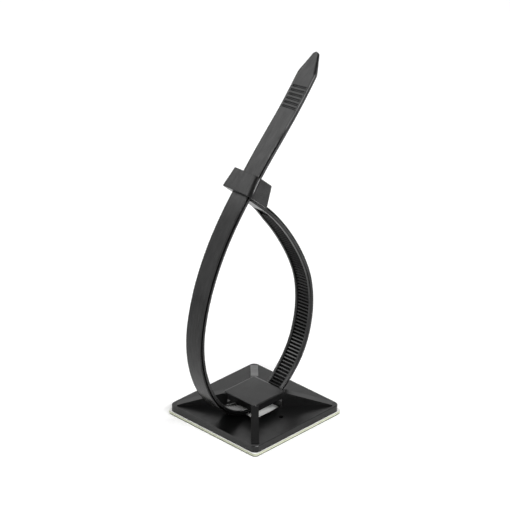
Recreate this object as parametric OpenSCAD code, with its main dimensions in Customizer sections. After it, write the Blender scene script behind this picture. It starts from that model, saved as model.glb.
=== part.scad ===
// Four-way adhesive cable tie mount with one cable tie threaded through it and drawn into a loop.
// The origin is the centre of the adhesive pad's lower face, so z = 0 is the surface it sticks to.
// +Z is up, the strap runs along X under the raised platform, and Y is the strap's width direction.

/* [Mount plate] */
// Side of the square plate
plate_side = 28; // [18:0.5:40]
// Thickness of the plate, without the foam
plate_thickness = 1.65; // [1:0.05:3]
// Radius of the plate's corners
plate_corner = 1.5; // [0.5:0.1:4]
// Side of the square opening through the plate
opening_side = 10; // [6:0.5:16]
// Diameter of the ejector-pin mark on the plate
pin_mark = 1.1; // [0.4:0.1:2]

/* [Platform and ribs] */
// Side of the raised square platform
platform_side = 10.16; // [6:0.02:16]
// Thickness of the platform
platform_thickness = 1.8; // [0.8:0.05:3]
// Height of the platform's top above the resting surface
platform_top = 6.05; // [4.5:0.05:10]
// Width of each diagonal rib
rib_width = 1.8; // [1:0.1:3]
// Distance from the axis to the outer end of each rib, along the diagonal
rib_reach = 17.95; // [12:0.05:24]
// Height of the rib's top where it meets the platform's corner
rib_shoulder = 5.75; // [4:0.05:9]

/* [Foam pad] */
// Thickness of the adhesive foam pad
pad_thickness = 0.8; // [0.4:0.05:2]
// How far the pad stands out past the plate on every side
pad_margin = 0.3; // [0:0.05:1]

/* [Strap] */
// Full width of the strap
strap_width = 4.8; // [2.5:0.1:7.6]
// Full thickness of the strap
strap_thickness = 1.2; // [0.8:0.05:2]
// Width of the smooth outer face, between the two side steps
face_width = 4.3; // [2:0.1:7]
// Depth of the side steps, measured from the outer face
step_depth = 0.42; // [0.2:0.01:0.8]
// Width of the toothed channel between the two rails
channel_width = 3.2; // [1:0.1:5]
// Distance from one tooth to the next
tooth_pitch = 0.88; // [0.6:0.01:1.5]
// Height of the teeth
tooth_height = 0.34; // [0.1:0.01:0.6]

/* [Tail] */
// Thickness of the plain tail where it starts
tail_thickness = 0.9; // [0.5:0.05:1.5]
// Thickness of the tail at its point
point_thickness = 0.55; // [0.3:0.05:1.2]
// Radius of the tail's slight sideways bend
tail_bend = 90; // [60:5:400]
// Number of gripping grooves across the tail
grip_grooves = 6; // [0:1:10]

/* [Head] */
// Width of the locking head at its lower face
head_width = 9.3; // [5:0.1:11]
// Width of the head at its upper face
head_top_width = 8; // [5:0.1:10]
// Height of the head along the slot
head_height = 4.9; // [3:0.05:8]
// Thickness of the head's front wall, beyond the strap's outer face
head_front = 1.65; // [0.6:0.05:2.5]
// Length of the head behind the strap's outer face, at the lower face
head_back = 5.5; // [4:0.05:9]
// The same length at the upper face
head_top_back = 4.2; // [3:0.05:8]
// Radius of the head's four upright edges
head_corner = 0.9; // [0.2:0.05:2]

/* [Hidden] */
$fn = 48;

plate_top = pad_thickness + plate_thickness;
platform_low = platform_top - platform_thickness;

// The strap's outer face is a chain of tangent arcs in the XZ plane: [length, clockwise turn].
// It leaves the head, goes down the right side, under the platform, up the left side,
// straight through the head and out as the tail.
run = [
    [9, 9.4], [9, 8.6], [9, 11.4], [9.5, 20.2], [9, 19.6], [7, 20.2],
    [4, 4.8], [4, 18.4], [4, 21.6], [6, 12], [8, 32.2], [8, 22],
    [9, 18], [10, 19.6], [11, 13], [12, 12], [8.1, 6.4], [6, 0], [31.6, 8.8]
];
root_x = 0.52;
root_z = 54.5;
root_heading = -41.8;

run_length = total(run, len(run));
head_at = run_length - 36.7;
channel_starts = 4.2;
ramp_starts = 2;
channel_ends = run_length - 23.6;
rails_end = run_length - 22.1;
tail_starts = rails_end;
bend_starts = run_length - 17.6;
shoulder_at = run_length - 5.4;
tip_radius = 0.95;
tooth_floor = 0.72;
fit_gap = 0.12;

// Length of the first n arcs.
function total(list, n, i = 0) = i >= n ? 0 : list[i][0] + total(list, n, i + 1);

// Moves a pose [x, z, heading] along an arc of the given length and clockwise turn.
function along(pose, length, turn) =
    let (
        chord = abs(turn) < 0.001 ? length : 2 * length / (turn * PI / 180) * sin(turn / 2),
        course = pose[2] - turn / 2
    )
    [pose[0] + chord * cos(course), pose[1] + chord * sin(course), pose[2] - turn];

// The pose at the start of each arc.
starts = [
    for (i = 0, pose = [root_x, root_z, root_heading];
         i < len(run);
         pose = along(pose, run[i][0], run[i][1]), i = i + 1)
        pose
];

// The arc that holds arc length s, as [index, length left over].
function locate(s, i = 0) =
    i >= len(run) - 1 || s <= run[i][0] ? [i, s] : locate(s - run[i][0], i + 1);

// The pose of the outer face at arc length s.
function pose_at(s) =
    let (found = locate(s), arc = run[found[0]])
    along(starts[found[0]], found[1], arc[1] * found[1] / arc[0]);

// A point at depth t below the outer face, towards the inside of the loop.
function inside(s, t) =
    let (pose = pose_at(s))
    [pose[0] + t * sin(pose[2]), pose[1] - t * cos(pose[2])];

// Arc lengths at which the curve is drawn, about every 3 degrees of turn.
stations = [
    for (i = [0:len(run) - 1])
        let (steps = max(1, ceil(run[i][1] / 3)), first = total(run, i))
        for (k = [0:steps - 1])
            first + run[i][0] * k / steps
];

function stations_between(from, to) =
    concat([from], [for (s = stations) if (s > from + 0.05 && s < to - 0.05) s], [to]);

// One depth band of the strap, from arc length "from" to "to", drawn in the XZ plane.
module band(from, to, outer, inner) {
    forward = stations_between(from, to);
    last = len(forward) - 1;
    polygon(concat(
        [for (s = forward) inside(s, outer)],
        [for (i = [last:-1:0]) inside(forward[i], inner)]
    ));
}

// Stands a drawing of the XZ plane up and gives it a width along Y.
module across(width) {
    rotate([90, 0, 0])
        linear_extrude(height = width, center = true)
            children();
}

// Places children with local Z along the strap and local X towards the inside of the loop.
module on_strap(s) {
    pose = pose_at(s);
    translate([pose[0], 0, pose[1]])
        rotate([0, 90 - pose[2], 0])
            children();
}

// Ratchet teeth: a steep face towards the head's entry, then a long slope.
module toothed_band(from, to, lift) {
    count = floor((to - from) / tooth_pitch);
    finish = from + count * tooth_pitch;
    back = stations_between(from, finish);
    last = len(back) - 1;
    tips = [
        for (i = [0:count - 1])
            for (edge = [0, 1])
                inside(
                    from + i * tooth_pitch + edge * 0.12,
                    tooth_floor + lift + edge * tooth_height
                )
    ];
    polygon(concat(
        tips,
        [inside(finish, tooth_floor + lift)],
        [for (i = [last:-1:0]) inside(back[i], tooth_floor - 0.12)]
    ));
}

// The channel's floor slopes down from the root's inner face.
module channel_ramp() {
    polygon([
        inside(ramp_starts, strap_thickness),
        inside(channel_starts, tooth_floor),
        inside(channel_starts, strap_thickness + 0.5),
        inside(ramp_starts, strap_thickness + 0.5)
    ]);
}

module strap_body() {
    across(face_width)
        band(0, tail_starts + 0.5, 0, step_depth + 0.1);
    difference() {
        across(strap_width)
            band(0, rails_end, step_depth, strap_thickness);
        across(channel_width) {
            band(channel_starts - 0.02, channel_ends, tooth_floor, strap_thickness + 0.5);
            channel_ramp();
        }
    }
    across(channel_width + 0.1)
        toothed_band(channel_starts + 1.1, channel_ends - 0.8, 0);
}

// Sideways offset of the tail's centre line, and its half width, at arc length s.
function set_at(s) = s < bend_starts ? 0 : pow(s - bend_starts, 2) / (2 * tail_bend);
function half_width(s) =
    s < shoulder_at
        ? min(strap_width / 2, face_width / 2 + max(0, s - tail_starts - 1.3) * 0.1)
        : strap_width / 2 - (s - shoulder_at) * 0.3155;

// Outline of the plain tail as [across, along], without its rounded tip.
module tail_outline() {
    steps = [for (s = [tail_starts - 0.56:1:run_length - 0.6]) s];
    last = len(steps) - 1;
    polygon(concat(
        [for (s = steps) [set_at(s) - half_width(s), s - tail_starts]],
        [for (i = [last:-1:0]) [set_at(steps[i]) + half_width(steps[i]), steps[i] - tail_starts]]
    ));
    translate([set_at(run_length - tip_radius), run_length - tail_starts - tip_radius])
        circle(r = tip_radius);
}

// The tail's side profile: full depth where the rails run out, then thinner towards the point.
module tail_profile() {
    marks = [for (s = [tail_starts - 1:1.5:run_length + 1]) s];
    last = len(marks) - 1;
    polygon(concat(
        [for (s = marks) inside(s, 0)],
        [for (i = [last:-1:0]) inside(marks[i], tail_depth(marks[i]))]
    ));
}

function tail_depth(s) =
    let (
        rails_out = strap_thickness - (strap_thickness - tail_thickness) * (s - tail_starts) / 2.5,
        thinned = tail_thickness - (tail_thickness - point_thickness) * (s - tail_starts) / 18
    )
    max(point_thickness, min(strap_thickness - 0.02, max(rails_out, thinned)));

module tail() {
    difference() {
        intersection() {
            across(strap_width + 6)
                tail_profile();
            on_strap(tail_starts)
                translate([-2.5, 0, 0])
                    rotate([90, 0, 90])
                        linear_extrude(height = 6)
                            tail_outline();
        }
        for (i = [0:1:grip_grooves - 1])
            grip_groove(run_length - 9.1 - 1.06 * i);
    }
}

// One gripping groove, square to the tail's bent centre line.
module grip_groove(s) {
    on_strap(s)
        translate([0, set_at(s), 0])
            rotate([-atan((s - bend_starts) / tail_bend), 0, 0])
                translate([-0.5, -1.86, -0.27])
                    cube([0.7, 3.72, 0.54]);
}

// One level of the head's tapered block.
module head_level(z, width, back) {
    r = head_corner;
    translate([0, 0, z])
        linear_extrude(height = 0.01)
            hull()
                for (x = [r - head_front, back - r])
                    for (y = [r - width / 2, width / 2 - r])
                        translate([x, y])
                            circle(r = r, $fn = 32);
}

module head_block() {
    hull() {
        head_level(0, head_width, head_back);
        head_level(head_height - 0.01, head_top_width, head_top_back);
    }
}

// The strap's root, which runs straight back into the head's lower edge.
module root_block() {
    across(strap_width)
        polygon([
            inside(0.6, 0.01),
            inside(0.6, strap_thickness),
            inside(0, strap_thickness),
            behind(4.9, strap_thickness),
            behind(4.9, 0.01)
        ]);
}

// A point at distance d behind the root and depth t below the outer face.
function behind(d, t) =
    [
        root_x - d * cos(root_heading) + t * sin(root_heading),
        root_z - d * sin(root_heading) - t * cos(root_heading)
    ];

// The locking tongue, with teeth that follow the strap's own teeth at a small gap.
module pawl() {
    difference() {
        on_strap(head_at)
            across(channel_width - 0.3)
                polygon([[2.3, 0.5], [3.4, 0.5], [3.1, 1.6], [2, 4], [0.8, 4], [0.8, 2.2]]);
        across(channel_width)
            toothed_band(channel_starts + 1.1, channel_ends - 0.8, 0.08);
    }
}

module head() {
    difference() {
        union() {
            on_strap(head_at)
                head_block();
            root_block();
        }
        on_strap(head_at) {
            translate([-fit_gap, -strap_width / 2 - fit_gap, -2])
                cube([strap_thickness + 2 * fit_gap, strap_width + 2 * fit_gap, head_height + 4]);
            translate([strap_thickness, -channel_width / 2 - 0.1, 0.8])
                cube([1.9, channel_width + 0.2, head_height]);
        }
    }
}

module cable_tie() {
    color([0.07, 0.07, 0.07]) {
        strap_body();
        tail();
        head();
        pawl();
    }
}

// A square slab with rounded corners and a small chamfer round its top.
module slab(side, radius, low, high, chamfer) {
    half = side / 2;
    inner = side - 2 * radius;
    for (turn = [0, 90])
        rotate([0, 0, turn])
            across(inner)
                polygon([
                    [-half, low], [-half, high - chamfer], [-half + chamfer, high],
                    [half - chamfer, high], [half, high - chamfer], [half, low]
                ]);
    for (x = [-inner / 2, inner / 2])
        for (y = [-inner / 2, inner / 2])
            translate([x, y, low]) {
                cylinder(r = radius, h = high - low - chamfer);
                translate([0, 0, high - low - chamfer])
                    cylinder(r1 = radius, r2 = radius - chamfer, h = chamfer);
            }
}

module rib() {
    inner_end = platform_side / 2 * sqrt(2) - 0.9;
    across(rib_width)
        polygon([
            [inner_end, pad_thickness],
            [inner_end, rib_shoulder],
            [inner_end + 1.1, rib_shoulder],
            [rib_reach, plate_top + 0.2],
            [rib_reach, plate_top - 0.5],
            [inner_end + 3, plate_top - 0.5],
            [inner_end + 3, pad_thickness]
        ]);
}

module mount_base() {
    color([0.08, 0.08, 0.08]) {
        difference() {
            slab(plate_side, plate_corner, pad_thickness, plate_top, 0.15);
            translate([-opening_side / 2, -opening_side / 2, 0])
                cube([opening_side, opening_side, plate_top + 1]);
            translate([0, -8.5, plate_top - 0.8])
                cylinder(d = pin_mark, h = 1);
        }
        slab(platform_side, 0.5, platform_low, platform_top, 0.2);
        for (turn = [45:90:315])
            rotate([0, 0, turn])
                rib();
    }
}

module adhesive_pad() {
    side = plate_side + 2 * pad_margin;
    radius = 0.9;
    color([0.84, 0.86, 0.76]) {
        linear_extrude(height = pad_thickness) {
            square([side, side - 2 * radius], center = true);
            square([side - 2 * radius, side], center = true);
            for (x = [-1, 1])
                for (y = [-1, 1])
                    translate([x * (side / 2 - radius), y * (side / 2 - radius)])
                        circle(r = radius);
        }
    }
}

mount_base();
adhesive_pad();
cable_tie();
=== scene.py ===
# Looks of the adhesive cable tie mount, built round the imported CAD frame.
# The shape code works in millimetres in the frame's axes, and new_object() turns them into metres.
import math

import bmesh
import bpy
from mathutils import Matrix, Vector, noise


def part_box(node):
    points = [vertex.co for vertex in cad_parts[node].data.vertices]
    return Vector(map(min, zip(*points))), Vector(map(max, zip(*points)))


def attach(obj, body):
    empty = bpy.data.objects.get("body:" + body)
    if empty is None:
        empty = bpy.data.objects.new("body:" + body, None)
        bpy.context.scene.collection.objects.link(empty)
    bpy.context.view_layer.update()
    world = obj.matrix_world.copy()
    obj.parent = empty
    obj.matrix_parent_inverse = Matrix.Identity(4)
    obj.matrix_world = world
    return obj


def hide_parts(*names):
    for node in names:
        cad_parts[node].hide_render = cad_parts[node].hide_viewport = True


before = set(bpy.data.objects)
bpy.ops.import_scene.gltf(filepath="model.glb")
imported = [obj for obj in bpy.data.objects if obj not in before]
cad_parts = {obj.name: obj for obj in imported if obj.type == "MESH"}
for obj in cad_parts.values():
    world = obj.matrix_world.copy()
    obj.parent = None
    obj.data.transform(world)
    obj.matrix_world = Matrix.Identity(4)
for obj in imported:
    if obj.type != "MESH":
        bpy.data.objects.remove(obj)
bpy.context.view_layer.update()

PER_METRE = 1000

# ---------------------------------------------------------------- strap: route and sizes
# Arcs of the outer face, each with its length and its turn in degrees, from the head to the tip.
# They are the same as in part.scad.
RUN = [
    (9, 9.4), (9, 8.6), (9, 11.4), (9.5, 20.2), (9, 19.6), (7, 20.2),
    (4, 4.8), (4, 18.4), (4, 21.6), (6, 12), (8, 32.2), (8, 22),
    (9, 18), (10, 19.6), (11, 13), (12, 12), (8.1, 6.4), (6, 0), (31.6, 8.8),
]
START = (0.52, 54.5, -41.8)  # x, z and heading in degrees
LENGTH = sum(length for length, turn in RUN)

# Places along the strap, as arc lengths.
ROOT = -4.9  # the strap starts inside the head
RAMP = 2.0  # the channel starts to deepen
CHANNEL = (4.2, LENGTH - 23.6)
TEETH = (5.3, LENGTH - 24.4)
HEAD_AT = LENGTH - 36.7  # the strap passes through the head
TAIL = LENGTH - 22.1  # the rails end
BEND = LENGTH - 17.6  # the tail starts to bend sideways
SHOULDER = LENGTH - 5.4  # the point starts

# Across the strap: half widths.
HALF = 2.54
FAR_FACE = 2.4
NEAR_FACE = 2.3
CHANNEL_HALF = 1.66
TAPER = 0.345  # width lost on each side of the point, per millimetre
TIP = 0.95  # radius of the tip

# Through the strap: depths below the outer face.
THICK = 1.2
TAIL_THICK = 0.95
TIP_THICK = 0.55
SIDE_STEP = 0.54
CHANNEL_FLOOR = 0.72

# One tooth: where its crest starts and ends within the pitch, and the depths of the gap and the crest.
PITCH = 0.88
CREST = (0.27, 0.54)
GAP_DEPTH = 0.52
CREST_DEPTHS = (0.96, 1.04)

# Gripping grooves near the tip: where their middles are, their half length and their depth.
GROOVES = [LENGTH - 9.1 - 1.06 * i for i in range(6)]
GROOVE_REACH = 0.31
GROOVE_DEPTH = 0.26


def pose_at(s):
    """x, z and heading (degrees) of the strap's outer face at arc length s."""
    x, z, heading = START
    if s < 0:
        angle = math.radians(heading)
        return x + s * math.cos(angle), z + s * math.sin(angle), heading
    for i, (length, turn) in enumerate(RUN):
        last = i == len(RUN) - 1
        done = s if last or s < length else length
        part = turn * done / length
        chord = done
        if abs(part) >= 1e-3:
            chord = 2 * done / math.radians(part) * math.sin(math.radians(part / 2))
        angle = math.radians(heading - part / 2)
        x += chord * math.cos(angle)
        z += chord * math.sin(angle)
        heading -= part
        s -= done
        if last or s <= 0:
            break
    return x, z, heading


def blend(s, start, end, low, high):
    """A straight change from low at start to high at end."""
    k = min(1.0, max(0.0, (s - start) / (end - start)))
    return low + (high - low) * k


def ease(s, start, end):
    """A smooth change from 0 at start to 1 at end."""
    k = blend(s, start, end, 0.0, 1.0)
    return k * k * (3 - 2 * k)


# ---------------------------------------------------------------- strap: section
def channel_floor(s):
    """Depth of the channel's floor at arc length s, teeth included."""
    if s > CHANNEL[1]:
        return THICK
    if s < CHANNEL[0]:
        return blend(s, RAMP, CHANNEL[0], THICK, CHANNEL_FLOOR)
    if s < TEETH[0] or s > TEETH[1]:
        return CHANNEL_FLOOR
    u = (s - TEETH[0]) % PITCH
    if u < CREST[0]:
        return blend(u, 0, CREST[0], GAP_DEPTH, CREST_DEPTHS[0])
    if u < CREST[1]:
        return blend(u, *CREST, *CREST_DEPTHS)
    return blend(u, CREST[1], PITCH, CREST_DEPTHS[1], GAP_DEPTH)


def face_width(s, far):
    """Half width of the smooth outer face, on its far side or its near one."""
    if s < SHOULDER:
        if far:
            return blend(s, TAIL - 12, TAIL + 12, FAR_FACE, HALF)
        return blend(s, TAIL, TAIL + 2.8, NEAR_FACE, HALF)
    centre = LENGTH - TIP
    if s > centre + TIP * math.sin(math.atan(TAPER)):
        return math.sqrt(max(0.0, TIP ** 2 - (s - centre) ** 2))
    return HALF - (s - SHOULDER) * TAPER


def groove_depth(s):
    """Depth of the gripping grooves at arc length s, in the middle of the outer face."""
    for middle in GROOVES:
        if abs(s - middle) < GROOVE_REACH:
            return GROOVE_DEPTH * math.cos(math.pi / 2 * (s - middle) / GROOVE_REACH)
    return 0.0


def half_section(s, far):
    """Half of the strap's section at arc length s, as (across, depth) pairs from middle to middle."""
    on_point = s > SHOULDER
    face = face_width(s, far)
    half = face if s >= SHOULDER else HALF
    deep = blend(s, TAIL, SHOULDER, THICK, TAIL_THICK)
    if on_point:
        deep = blend(s, SHOULDER, LENGTH, TAIL_THICK, TIP_THICK)
    floor_depth = deep if s > CHANNEL[1] else min(channel_floor(s), deep)

    # outer face, with the gripping grooves short of its edges
    groove = groove_depth(s)
    grip = 1.9 if far else 2.05
    if on_point:
        grip = face * 0.6
    points = [(0.0, groove), (grip - 0.14, groove), (grip - 0.05, groove * 0.7), (grip, 0.0)]

    # edge of the outer face, chamfered by less where the point is narrow
    cut = min(1.0, face / 0.4)
    for across, down in ((0.16, 0.0), (0.13, 0.015), (0.02, 0.16), (0.0, 0.2)):
        points.append((face - cut * across, cut * down))

    # side: an undercut and a step outwards, or a plain wall on the tail
    rounding = min(0.4 if far and s < HEAD_AT else 0.18, half * 0.5)
    overhang = half - face
    if overhang > 0.005:
        soft = min(0.04, overhang / 3)
        wall = face - min(0.3, overhang * 1.2)
        points += [(wall, SIDE_STEP - soft), (wall + soft, SIDE_STEP)]
        points += [(half - soft, SIDE_STEP), (half, SIDE_STEP + soft)]
    else:
        low = 0.2 * cut
        points += [(face, low + (deep - rounding - low) * k) for k in (0.2, 0.4, 0.6, 0.8)]

    # rounded rail
    for k in range(6):
        angle = math.pi / 2 * k / 5
        across = half - rounding + rounding * math.cos(angle)
        points.append((across, deep - rounding + rounding * math.sin(angle)))

    # channel
    wall = min(CHANNEL_HALF, half * 0.5) if on_point else CHANNEL_HALF
    lip = min(0.07, (deep - floor_depth) / 2)
    points += [(wall + lip, deep), (wall + lip * 0.3, deep - lip * 0.3), (wall, deep - lip)]
    points += [(wall, floor_depth), (0.0, floor_depth)]
    return points


# ---------------------------------------------------------------- strap: placing the section
def sway(s):
    """Sideways drift of the strap's centre line beyond the head."""
    bend_radius = 90.0
    drift = 0.0 if s < BEND else (s - BEND) ** 2 / (2 * bend_radius)
    return drift - 0.12 * ease(s, HEAD_AT + 5, HEAD_AT + 17) * (1 - ease(s, BEND, BEND + 11))


def twisted(s, across, depth):
    """The section's point after the slight turn that the loop puts into the strap's run."""
    turn = math.radians(7.0 * ease(s, 1, 9) - 2.0 * ease(s, 16, 30) - 5.0 * ease(s, 48, 62))
    inwards = 0.012 + 0.26 * ease(s, 1, 9) * (1 - ease(s, 16, 30))
    middle = THICK / 2
    depth -= middle
    return (
        across * math.cos(turn) - depth * math.sin(turn),
        inwards + middle + depth * math.cos(turn) + across * math.sin(turn),
    )


def place(s, across, depth):
    """A point of the strap in the frame's axes."""
    across, depth = twisted(s, across, depth)
    x, z, heading = pose_at(s)
    heading = math.radians(heading)
    turn = math.atan((sway(s + 0.05) - sway(s - 0.05)) / 0.1)
    back = math.sin(turn) * across
    return Vector((
        x - back * math.cos(heading) + depth * math.sin(heading),
        sway(s) + across * math.cos(turn),
        z - back * math.sin(heading) - depth * math.cos(heading),
    ))


def stations():
    """The arc lengths at which the strap has a section, in order."""
    marks = {ROOT, 0.0, RAMP, CHANNEL[0], CHANNEL[1] - 0.02, CHANNEL[1] + 0.02}
    s = -4.5
    while s < LENGTH - 0.8:
        if not TEETH[0] <= s <= TEETH[1]:
            marks.add(round(s, 4))
        s += 0.5
    for i in range(int((TEETH[1] - TEETH[0]) / PITCH)):
        for u in (0.0, *CREST):
            marks.add(round(TEETH[0] + i * PITCH + u, 4))
    for middle in GROOVES:
        for k in range(-4, 5):
            marks.add(round(middle + GROOVE_REACH * k / 4, 4))
    for before_tip in (1.6, 1.3, 1.0, 0.8, 0.66, 0.5, 0.35, 0.22, 0.12, 0.05, 0.015):
        marks.add(LENGTH - before_tip)
    return sorted(marks)


# ---------------------------------------------------------------- mesh helpers
def add_object(name, data):
    obj = bpy.data.objects.new(name, data)
    bpy.context.scene.collection.objects.link(obj)
    return obj


def object_from(name, bm):
    """An object from a bmesh, as it is."""
    mesh = bpy.data.meshes.new(name)
    bm.to_mesh(mesh)
    bm.free()
    return add_object(name, mesh)


def new_object(name, bm, sharp=38):
    """A smooth-shaded object in metres from a mesh in millimetres, with edges past sharp degrees kept."""
    bmesh.ops.scale(bm, vec=(1 / PER_METRE,) * 3, verts=bm.verts)
    bmesh.ops.recalc_face_normals(bm, faces=bm.faces)
    limit = math.radians(sharp)
    for face in bm.faces:
        face.smooth = True
    for edge in bm.edges:
        edge.smooth = len(edge.link_faces) != 2 or edge.calc_face_angle(0) < limit
    return object_from(name, bm)


def bake(obj):
    """Applies the object's modifiers to its mesh."""
    bpy.context.view_layer.update()
    graph = bpy.context.evaluated_depsgraph_get()
    mesh = bpy.data.meshes.new_from_object(obj.evaluated_get(graph))
    obj.modifiers.clear()
    obj.data = mesh
    return obj


def weighted(obj):
    """Flat faces keep flat shading right up to their rounded edges."""
    modifier = obj.modifiers.new("normals", "WEIGHTED_NORMAL")
    modifier.mode = "FACE_AREA"
    modifier.weight = 90
    modifier.keep_sharp = True
    return bake(obj)


def skin(bm, rings):
    """Joins rings of equal length with faces and closes both ends."""
    rows = [[bm.verts.new(point) for point in ring] for ring in rings]
    around = len(rows[0])
    for row, following in zip(rows, rows[1:]):
        for i in range(around):
            j = (i + 1) % around
            bm.faces.new((row[i], row[j], following[j], following[i]))
    bm.faces.new(rows[0][::-1])
    bm.faces.new(rows[-1])


def cut_box(target, x0, x1, half_y, z0, z1):
    """Cuts a box out of an object."""
    bm = bmesh.new()
    corners = ((x0, -half_y), (x1, -half_y), (x1, half_y), (x0, half_y))
    skin(bm, [[(x, y, z) for x, y in corners] for z in (z0, z1)])
    bmesh.ops.recalc_face_normals(bm, faces=bm.faces)
    cutter = object_from("cutter", bm)
    modifier = target.modifiers.new("cut", "BOOLEAN")
    modifier.operation = "DIFFERENCE"
    modifier.solver = "EXACT"
    modifier.object = cutter
    bake(target)
    bpy.data.objects.remove(cutter)


def corner_arc(cx, cy, first, rx, ry, steps):
    """Points of a quarter round about (cx, cy), from the angle first on, in degrees."""
    angles = [math.radians(first + 90 * k / steps) for k in range(steps + 1)]
    return [(cx + rx * math.cos(a), cy + ry * math.sin(a)) for a in angles]


# ---------------------------------------------------------------- cable tie
HEAD_HEIGHT = 4.9
HEAD_HALF_WIDTH = (4.65, 4.0)  # at the lower face and at the upper one, as are the next pair
HEAD_BACK = (5.5, 4.2)
HEAD_FRONT = -1.65
SLOT = (-0.12, 1.32, 2.62)  # front, back and half width, as are the chamber's
CHAMBER = (1.2, 3.1, 1.7)
CHAMBER_FLOOR = 0.8
# The head's side rounding near its two ends: height above the end, and how far the outline draws in.
HEAD_EDGE = ((0.0, 0.14), (0.03, 0.07), (0.08, 0.03), (0.16, 0.0))
# The tongue's side view, in the head's own X and Z.
TONGUE = [
    (2.3, 0.5), (3.4, 0.5), (3.1, 1.6), (2.0, 4.0), (1.25, 4.0), (1.25, 3.6),
    (1.55, 3.1), (1.25, 3.1), (1.25, 2.75), (1.55, 2.2), (1.4, 1.9),
]
TONGUE_HALF = 1.45


def add_strap(bm):
    """The strap, with the channel's floor and walls in a material slot of their own, for the darker
    material that paints shade in the channel.
    """
    at = stations()
    rings = []
    for s in at:
        far_half = half_section(s, True)
        near_half = half_section(s, False)[-2:0:-1]
        section = far_half + [(-across, depth) for across, depth in near_half]
        rings.append([place(s, across, depth) for across, depth in section])
    skin(bm, rings)
    bm.faces.ensure_lookup_table()
    around = len(rings[0])
    middle_of_floor = len(far_half) - 1
    for k, s in enumerate(at[:-1]):
        if CHANNEL[0] <= s < CHANNEL[1] - 0.1:
            for i in range(middle_of_floor - 2, middle_of_floor + 2):
                bm.faces[k * around + i].material_index = 1


def head_outline(z, inset):
    """The head's outline at height z, drawn in by inset."""
    k = z / HEAD_HEIGHT
    width = HEAD_HALF_WIDTH[0] + (HEAD_HALF_WIDTH[1] - HEAD_HALF_WIDTH[0]) * k - inset
    back = HEAD_BACK[0] + (HEAD_BACK[1] - HEAD_BACK[0]) * k - inset
    front = HEAD_FRONT + inset
    # each corner's place, first angle, radius along X and stretch across
    corners = (
        (back, width, 0, 0.75, 1),
        (front, width, 90, 0.8, 1),
        (front, -width, 180, 1.0, 1.75),
        (back, -width, 270, 0.75, 1),
    )
    outline = []
    for x, y, first, radius, stretch in corners:
        radius -= inset * 0.6
        cx = x - math.copysign(radius, x)
        cy = y - math.copysign(radius * stretch, y)
        outline += [(*point, z) for point in corner_arc(cx, cy, first, radius, radius * stretch, 10)]
    return outline


def head_object():
    """The locking head, drawn upright: X inwards, Y across, Z along the slot."""
    levels = [*HEAD_EDGE, (HEAD_HEIGHT / 2, 0.0)]
    levels += [(HEAD_HEIGHT - z, inset) for z, inset in HEAD_EDGE[::-1]]
    bm = bmesh.new()
    skin(bm, [head_outline(z, inset) for z, inset in levels])
    head = object_from("head_block", bm)
    cut_box(head, *SLOT, -1, HEAD_HEIGHT + 1)
    cut_box(head, *CHAMBER, CHAMBER_FLOOR, HEAD_HEIGHT + 1)
    return head


def build_tie():
    """Strap, head and tongue as one moulding."""
    bm = bmesh.new()
    add_strap(bm)
    x, z, heading = pose_at(HEAD_AT)
    to_head = Matrix.Translation((x, 0, z)) @ Matrix.Rotation(math.radians(90 - heading), 4, "Y")
    head = head_object()
    head.data.transform(to_head)
    bm.from_mesh(head.data)
    bpy.data.objects.remove(head)
    skin(bm, [[to_head @ Vector((x, y, z)) for x, z in TONGUE] for y in (-TONGUE_HALF, TONGUE_HALF)])
    bmesh.ops.remove_doubles(bm, verts=bm.verts, dist=0.002)
    return weighted(new_object("cable_tie_moulding", bm, 34))


# ---------------------------------------------------------------- mount base
TOP_EASE = 0.3  # the platform's far edges are drawn in by this at the top
FILLET = 0.28  # inner corners
SHORT = 3.2  # inner corners shorter than this get only a share of the fillet
SHORT_SHARE = 0.25
ARRIS = 0.08  # outer edges within UPPER of the platform's top
UPPER = 1.6
RIM = 0.3  # all other outer edges
PIN_MARK = Vector((0, -8.5))  # the ejector-pin mark, which stays sharp
PIN_REACH = 0.6


def build_base():
    """The base's own solid, with its edges rounded as a moulding's are."""
    bm = bmesh.new()
    bm.from_mesh(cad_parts["mount_base"].data)
    bmesh.ops.scale(bm, vec=(PER_METRE,) * 3, verts=bm.verts)
    bmesh.ops.remove_doubles(bm, verts=bm.verts, dist=0.002)
    bmesh.ops.dissolve_limit(bm, angle_limit=math.radians(1.0), verts=bm.verts, edges=bm.edges)
    top = max(v.co.z for v in bm.verts)
    for v in bm.verts:
        if v.co.z > top - 0.01:
            v.co.x -= TOP_EASE if v.co.x > 0 else 0
            v.co.y -= TOP_EASE if v.co.y > 0 else 0
    bm.normal_update()
    weight = bm.edges.layers.float.new("bevel_weight_edge")
    for edge in bm.edges:
        flat = len(edge.link_faces) != 2 or edge.calc_face_angle(0) < math.radians(28)
        if flat or any((v.co.xy - PIN_MARK).length <= PIN_REACH for v in edge.verts):
            continue
        if edge.is_convex:
            high = min(v.co.z for v in edge.verts) > top - UPPER
            edge[weight] = (ARRIS if high else RIM) / FILLET
        else:
            edge[weight] = SHORT_SHARE if edge.calc_length() < SHORT else 1.0
    shape = object_from("mount_sharp", bm)
    modifier = shape.modifiers.new("edges", "BEVEL")
    modifier.limit_method = "WEIGHT"
    modifier.offset_type = "OFFSET"
    modifier.width = FILLET
    modifier.segments = 3
    bake(shape)
    bm = bmesh.new()
    bm.from_mesh(shape.data)
    bpy.data.objects.remove(shape)
    bmesh.ops.triangulate(bm, faces=[face for face in bm.faces if len(face.verts) > 4])
    return weighted(new_object("mount_moulding", bm, 40))


# ---------------------------------------------------------------- foam pad
PAD_CORNER = 0.9
# Top of the pad's lowest band, which is coloured near-black as painted contact shadow.
SHADOW_BAND_TOP = 0.245
PAD_STEP = 0.35  # spacing of points round the pad, and width of the rim on its top
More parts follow.
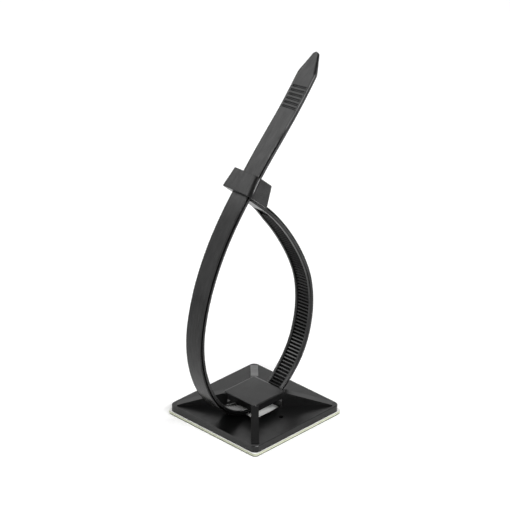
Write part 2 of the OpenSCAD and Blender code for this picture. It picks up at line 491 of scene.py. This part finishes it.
# The pad's side from the floor up: height, and how far it draws in. The lowest part is drawn in and
# coloured near-black, a painted contact shadow under the pad.
PAD_SIDE = ((0, 0.1), (0.24, 0.1), (0.25, 0.02), (0.3, 0.0), (0.4, 0.015), (0.58, 0.012), (0.75, 0.0))
TOP_INSET = 0.03
UNEVEN = 0.018


def build_pad():
    """A die-cut square of foam tape with soft edges and slightly uneven cut sides."""
    high_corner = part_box("adhesive_pad")[1] * PER_METRE
    half = round(high_corner.x, 3)
    high = round(high_corner.z, 3)
    inner = half - PAD_CORNER
    outline = []
    for x_side, y_side, first in ((1, 1, 0), (-1, 1, 90), (-1, -1, 180), (1, -1, 270)):
        arc = corner_arc(x_side * inner, y_side * inner, first, PAD_CORNER, PAD_CORNER, 6)
        outline += [Vector(point) for point in arc]
    dense = []
    for i, point in enumerate(outline):
        following = outline[(i + 1) % len(outline)]
        n = max(1, int((following - point).length / PAD_STEP))
        dense += [point.lerp(following, k / n) for k in range(n)]
    rows = []
    for z, inset in (*PAD_SIDE, (high, TOP_INSET)):
        row = []
        for point in dense:
            dent = 0
            if 0 < z < high:
                dent = max(0, UNEVEN * noise.noise(Vector((point.x * 1.7, point.y * 1.7, z * 4))))
            k = 1 - (inset + dent) / half
            row.append((point.x * k, point.y * k, z))
        rows.append(row)
    bm = bmesh.new()
    skin(bm, rows)
    # The lowest band takes the near-black material, a painted contact shadow under the pad.
    for face in bm.faces:
        face.material_index = 2 if max(v.co.z for v in face.verts) < SHADOW_BAND_TOP else 0
    # The top inside the rim is coloured near-white, painted light for light reaching the foam under the
    # platform; the rim keeps the side's colour.
    top_faces = [face for face in bm.faces if all(v.co.z > high - 0.001 for v in face.verts)]
    bmesh.ops.inset_region(bm, faces=top_faces, thickness=PAD_STEP)
    for face in top_faces:
        face.material_index = 1
    return new_object("foam_square", bm, 50)


# ---------------------------------------------------------------- materials
def material(name):
    mat = bpy.data.materials.new(name)
    mat.use_nodes = True
    nodes = mat.node_tree.nodes
    return mat, nodes, mat.node_tree.links, nodes["Principled BSDF"]


def noise_node(nodes, links, coord, scale, detail=4.0, rough=0.55):
    node = nodes.new("ShaderNodeTexNoise")
    node.inputs["Scale"].default_value = scale
    node.inputs["Detail"].default_value = detail
    node.inputs["Roughness"].default_value = rough
    links.new(coord, node.inputs["Vector"])
    return node.outputs["Fac"]


def ramp(nodes, links, source, stops):
    """A colour ramp. A stop's value is a grey level or a colour."""
    node = nodes.new("ShaderNodeValToRGB")
    elements = node.color_ramp.elements
    while len(elements) < len(stops):
        elements.new(0.5)
    for element, (position, value) in zip(elements, stops):
        element.position = position
        element.color = (*value, 1) if isinstance(value, tuple) else (value, value, value, 1)
    links.new(source, node.inputs["Fac"])
    return node.outputs["Color"]


def remap(nodes, links, source, from_range, to_range):
    """Maps a value from one range to another and stops at the range's ends."""
    node = nodes.new("ShaderNodeMapRange")
    node.inputs["From Min"].default_value = from_range[0]
    node.inputs["From Max"].default_value = from_range[1]
    node.inputs["To Min"].default_value = to_range[0]
    node.inputs["To Max"].default_value = to_range[1]
    links.new(source, node.inputs["Value"])
    return node.outputs["Result"]


def bump(nodes, links, height, strength, distance, under=None):
    """A bump from a height value, on top of an earlier bump where one is given."""
    node = nodes.new("ShaderNodeBump")
    node.inputs["Strength"].default_value = strength
    node.inputs["Distance"].default_value = distance
    links.new(height, node.inputs["Height"])
    if under is not None:
        links.new(under, node.inputs["Normal"])
    return node.outputs["Normal"]


def moulded_black(name, dark, light, rough, grain, streak=None, fade=None):
    """Black moulded plastic: a slightly uneven tone and a fine sand texture.

    streak stretches faint flow marks along the piece.
    fade is a range of heights in metres and the gloss at its two ends: gloss painted by height, a painted
    sheen low down and painted shade higher up.
    """
    mat, nodes, links, shader = material(name)
    coord = nodes.new("ShaderNodeTexCoord").outputs["Object"]
    tone = noise_node(nodes, links, coord, 260, 5)
    links.new(ramp(nodes, links, tone, [(0.3, dark), (0.7, light)]), shader.inputs["Base Color"])
    wide = noise_node(nodes, links, coord, 420, 3)
    roughness = remap(nodes, links, wide, (0.25, 0.75), (rough - 0.05, rough + 0.06))
    links.new(roughness, shader.inputs["Roughness"])
    normal = bump(nodes, links, noise_node(nodes, links, coord, grain, 3, 0.6), 0.35, 0.00002)
    if streak:
        stretch = nodes.new("ShaderNodeMapping")
        stretch.inputs["Scale"].default_value = streak
        links.new(coord, stretch.inputs["Vector"])
        flow = noise_node(nodes, links, stretch.outputs["Vector"], 2600, 3)
        normal = bump(nodes, links, flow, 0.4, 0.00003, normal)
        gloss = remap(nodes, links, flow, (0.3, 0.7), (0.39, 0.57))
        links.new(gloss, shader.inputs["Specular IOR Level"])
    if fade:
        parts = nodes.new("ShaderNodeSeparateXYZ")
        links.new(coord, parts.inputs[0])
        gloss = remap(nodes, links, parts.outputs["Z"], *fade)
        links.new(gloss, shader.inputs["Specular IOR Level"])
    links.new(normal, shader.inputs["Normal"])
    return mat


def foam_material(name, dark, light):
    """Matt foam with fine cells."""
    mat, nodes, links, shader = material(name)
    coord = nodes.new("ShaderNodeTexCoord").outputs["Object"]
    tone = noise_node(nodes, links, coord, 350, 5)
    links.new(ramp(nodes, links, tone, [(0.3, dark), (0.7, light)]), shader.inputs["Base Color"])
    cells = nodes.new("ShaderNodeTexVoronoi")
    cells.inputs["Scale"].default_value = 5200
    links.new(coord, cells.inputs["Vector"])
    links.new(bump(nodes, links, cells.outputs["Distance"], 0.4, 0.00004), shader.inputs["Normal"])
    shader.inputs["Roughness"].default_value = 0.85
    shader.inputs["Specular IOR Level"].default_value = 0.3
    return mat


# ---------------------------------------------------------------- the three pieces
base = build_base()
base.data.materials.append(moulded_black("base_black_plastic", 0.0015, 0.003, 0.33, 3800))
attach(base, "root")
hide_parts("mount_base")

along_strap = (0.12, 1.0, 0.12)
# Gloss of the channel painted by height: strong reflections low down as a painted sheen, weak ones higher
# up as painted shade.
painted_sheen_and_shade_by_height = ((0.009, 0.034), (0.95, 0.16))
tie = build_tie()
tie.data.materials.append(moulded_black("tie_black_nylon", 0.0015, 0.003, 0.22, 3000, streak=along_strap))
# The channel's floor and walls are coloured darker than the strap: painted shade in the channel.
tie.data.materials.append(moulded_black("tie_channel_painted_shade", 0.001, 0.002, 0.26, 3000, fade=painted_sheen_and_shade_by_height))
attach(tie, "root")
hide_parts("cable_tie")

pad = build_pad()
pad.data.materials.append(foam_material("foam_tape_pale", (0.50, 0.525, 0.39), (0.60, 0.62, 0.48)))
# Near-white top of the foam: painted light, lighter than the foam's own cream.
pad.data.materials.append(foam_material("foam_top_painted_light", (0.90, 0.90, 0.87), (0.95, 0.95, 0.93)))
# Near-black band at the pad's foot: painted contact shadow, not a real layer.
pad.data.materials.append(foam_material("foam_painted_contact_shadow", (0.035, 0.035, 0.03), (0.06, 0.06, 0.05)))
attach(pad, "root")
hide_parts("adhesive_pad")

# ---------------------------------------------------------------- floor
bm = bmesh.new()
bmesh.ops.create_grid(bm, x_segments=1, y_segments=1, size=3000)
floor = new_object("floor", bm)
mat, nodes, links, shader = material("pale_floor")
diffuse = nodes.new("ShaderNodeBsdfDiffuse")
diffuse.inputs["Color"].default_value = (0.88, 0.88, 0.88, 1)
path = nodes.new("ShaderNodeLightPath")
lift = nodes.new("ShaderNodeMath")
lift.operation = "MULTIPLY"
lift.inputs[1].default_value = 0.25
links.new(path.outputs["Is Camera Ray"], lift.inputs[0])
glow = nodes.new("ShaderNodeEmission")
glow.inputs["Color"].default_value = (1, 1, 1, 1)
links.new(lift.outputs[0], glow.inputs["Strength"])
both = nodes.new("ShaderNodeAddShader")
links.new(diffuse.outputs[0], both.inputs[0])
links.new(glow.outputs[0], both.inputs[1])
links.new(both.outputs[0], nodes["Material Output"].inputs["Surface"])
floor.data.materials.append(mat)

# ---------------------------------------------------------------- light
world = bpy.data.worlds.new("studio")
bpy.context.scene.world = world
world.use_nodes = True
nodes, links = world.node_tree.nodes, world.node_tree.links
# The sky is dim above and bright low down. Its bright part reaches higher behind the object than in front.
direction = nodes.new("ShaderNodeTexCoord").outputs["Generated"]
parts = nodes.new("ShaderNodeSeparateXYZ")
links.new(direction, parts.inputs[0])
rear = ramp(nodes, links, parts.outputs["Z"], [(0.0, 0.92), (0.47, 1.0), (0.60, 0.32), (1.0, 0.2)])
front = ramp(nodes, links, parts.outputs["Z"], [(0.0, 0.9), (0.25, 0.8), (0.42, 0.25), (1.0, 0.2)])
ahead = nodes.new("ShaderNodeVectorMath")
ahead.operation = "DOT_PRODUCT"
ahead.inputs[1].default_value = (-0.6, -0.8, 0)
links.new(direction, ahead.inputs[0])
sky = nodes.new("ShaderNodeMix")
sky.data_type = "RGBA"
# A colour mix's sockets share their names with its number sockets, so they go by index here.
MIX_FACTOR, MIX_A, MIX_B, MIX_COLOUR = 0, 6, 7, 2
links.new(remap(nodes, links, ahead.outputs["Value"], (-0.05, 0.35), (0, 1)), sky.inputs[MIX_FACTOR])
links.new(rear, sky.inputs[MIX_A])
links.new(front, sky.inputs[MIX_B])
back = nodes["Background"]
back.inputs["Strength"].default_value = 1.1
links.new(sky.outputs[MIX_COLOUR], back.inputs["Color"])
# The camera itself sees plain white.
seen = nodes.new("ShaderNodeBackground")
seen.inputs["Color"].default_value = (1, 1, 1, 1)
seen.inputs["Strength"].default_value = 1.0
path = nodes.new("ShaderNodeLightPath")
mix = nodes.new("ShaderNodeMixShader")
links.new(path.outputs["Is Camera Ray"], mix.inputs["Fac"])
links.new(back.outputs[0], mix.inputs[1])
links.new(seen.outputs[0], mix.inputs[2])
links.new(mix.outputs[0], nodes["World Output"].inputs["Surface"])


def lit_from(name, direction, distance, size, radiance):
    """A softbox in a given direction from the object, of about the given radiance."""
    target = Vector((0, 0, 0.04))
    away = Vector(direction).normalized()
    lamp = bpy.data.lights.new(name, "AREA")
    lamp.shape = "RECTANGLE"
    lamp.size, lamp.size_y = size
    lamp.energy = radiance * math.pi * size[0] * size[1]
    obj = add_object(name, lamp)
    obj.location = target + away * distance
    obj.rotation_mode = "QUATERNION"
    obj.rotation_quaternion = away.to_track_quat("Z", "Y")


lit_from("back_left", (-0.44, 0.62, 0.80), 0.8, (0.6, 0.35), 2.0)
lit_from("front_low", (0.03, -0.99, 0.13), 0.8, (0.42, 0.22), 0.6)
lit_from("front_fill", (-0.07, -0.785, 0.616), 0.9, (0.75, 0.2), 12.5)
lit_from("overhead", (-0.25, -0.25, 0.95), 1.0, (0.3, 0.3), 4.0)

# ---------------------------------------------------------------- camera
AZIMUTH = math.radians(-45.45)
ELEVATION = math.radians(27.24)
ROLL = math.radians(0.23)
SENSOR = 36.0
FOCAL_LENGTH = 211.976
DISTANCE = 696.703
# Where the frame's origin is in the view, from the middle of it, at the origin's distance.
ORIGIN_RIGHT = -0.0951
ORIGIN_UP = -36.6425

behind = Vector((
    math.sin(AZIMUTH) * math.cos(ELEVATION),
    -math.cos(AZIMUTH) * math.cos(ELEVATION),
    math.sin(ELEVATION),
))
level_right = Vector((math.cos(AZIMUTH), math.sin(AZIMUTH), 0))
level_up = behind.cross(level_right)
right = level_right * math.cos(ROLL) + level_up * math.sin(ROLL)
up = level_up * math.cos(ROLL) - level_right * math.sin(ROLL)
eye = (behind * DISTANCE - right * ORIGIN_RIGHT - up * ORIGIN_UP) / PER_METRE
cam_data = bpy.data.cameras.new("camera")
cam_data.sensor_width = SENSOR
cam_data.lens = FOCAL_LENGTH
cam_data.clip_start = 0.01
cam_data.clip_end = 20.0
cam = add_object("camera", cam_data)
cam.matrix_world = Matrix((
    (right.x, up.x, behind.x, eye.x),
    (right.y, up.y, behind.y, eye.y),
    (right.z, up.z, behind.z, eye.z),
    (0, 0, 0, 1),
))
bpy.context.scene.camera = cam
bpy.context.scene.view_settings.view_transform = "Standard"
